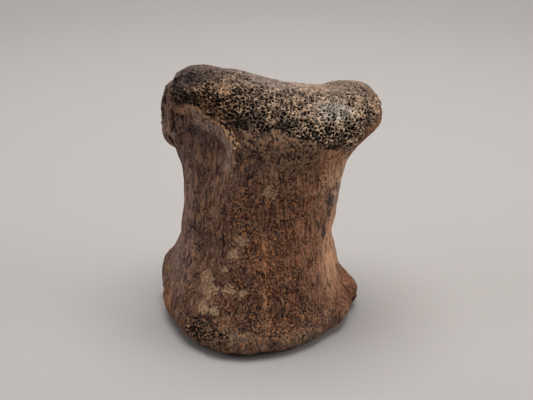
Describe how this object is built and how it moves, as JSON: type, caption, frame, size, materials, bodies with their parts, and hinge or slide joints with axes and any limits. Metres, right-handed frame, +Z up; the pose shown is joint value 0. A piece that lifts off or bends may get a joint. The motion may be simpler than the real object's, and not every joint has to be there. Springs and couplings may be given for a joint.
{
  "type": "fossil hadrosaur toe bone",
  "caption": "Waisted toe bone of a duck-billed dinosaur, turned to stone, standing on its dished end, with a rolled knuckle on top and a ligament pit in its side.",
  "frame": {"origin": "middle of the bounding box on the floor, under the end that the bone stands on", "axes": "+Z up along the bone, towards the rolled end; -Y is the dorsal face, the top of the toe; +X is to the right when that face is seen from the front"},
  "size_m": [0.068, 0.0542, 0.08],
  "materials": {
    "fossil_bone": "mineralised bone, dark brown and finely fibrous on the shaft, worn through to black pores and cream struts on the knuckle, dull"
  },
  "bodies": {
    "root": {"toe_bone": "fossil_bone"}
  },
  "joints": []
}
